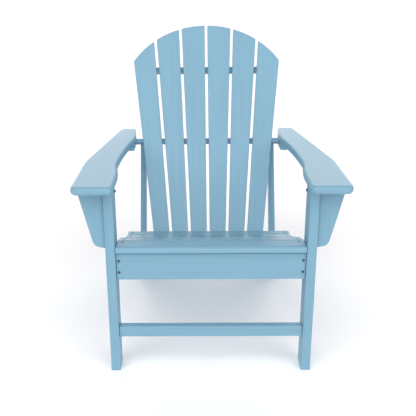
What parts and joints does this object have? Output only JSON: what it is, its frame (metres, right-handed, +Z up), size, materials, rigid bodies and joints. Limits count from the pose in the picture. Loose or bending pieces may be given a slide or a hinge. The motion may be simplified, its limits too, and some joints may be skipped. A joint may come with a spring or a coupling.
{
  "type": "adirondack chair",
  "caption": "Low slatted garden armchair with a fanned, arched back, wide flat arms on side brackets and a reclined contoured seat.",
  "frame": {"origin": "on the floor under the middle of the chair's footprint box", "axes": "+Z up, +Y towards the back of the chair, +X to the right of a viewer who faces the chair; left and right in the node names are that viewer's"},
  "size_m": [0.708, 0.8798, 0.8879],
  "materials": {
    "lumber": "light blue through-coloured plastic lumber, satin, with a fine brushed grain along each board",
    "steel": "stainless screws, bolts, washers and nuts, dull",
    "dowel": "plain beech dowels, hidden in the joints"
  },
  "bodies": {
    "root": {"front_leg_left": "lumber", "front_leg_right": "lumber", "seat_stringer_left": "lumber", "seat_stringer_right": "lumber", "front_apron": "lumber", "front_stretcher": "lumber", "seat_slat_1": "lumber", "seat_slat_2": "lumber", "seat_slat_3": "lumber", "seat_slat_4": "lumber", "seat_slat_5": "lumber", "seat_rear_strip": "lumber", "back_slat_1": "lumber", "back_slat_2": "lumber", "back_slat_3": "lumber", "back_slat_4": "lumber", "back_slat_5": "lumber", "back_slat_6": "lumber", "back_rail_upper": "lumber", "back_rail_middle": "lumber", "back_rail_lower": "lumber", "back_post_left": "lumber", "back_post_right": "lumber", "arm_left": "lumber", "arm_right": "lumber", "arm_bracket_left": "lumber", "arm_bracket_right": "lumber", "arm_cleat_left": "lumber", "arm_cleat_right": "lumber", "arm_block_left": "lumber", "arm_block_right": "lumber", "apron_screws": "steel", "seat_screws": "steel", "back_slat_screws": "steel", "lower_rail_screws": "steel", "post_screws": "steel", "stretcher_screws": "steel", "bracket_screws": "steel", "bracket_dowels": "dowel", "cleat_screws": "steel", "cleat_to_arm_screws": "steel", "block_to_arm_screws": "steel", "arm_block_screws": "steel", "frame_bolts": "steel", "frame_washers": "steel", "frame_nuts": "steel"}
  },
  "joints": []
}
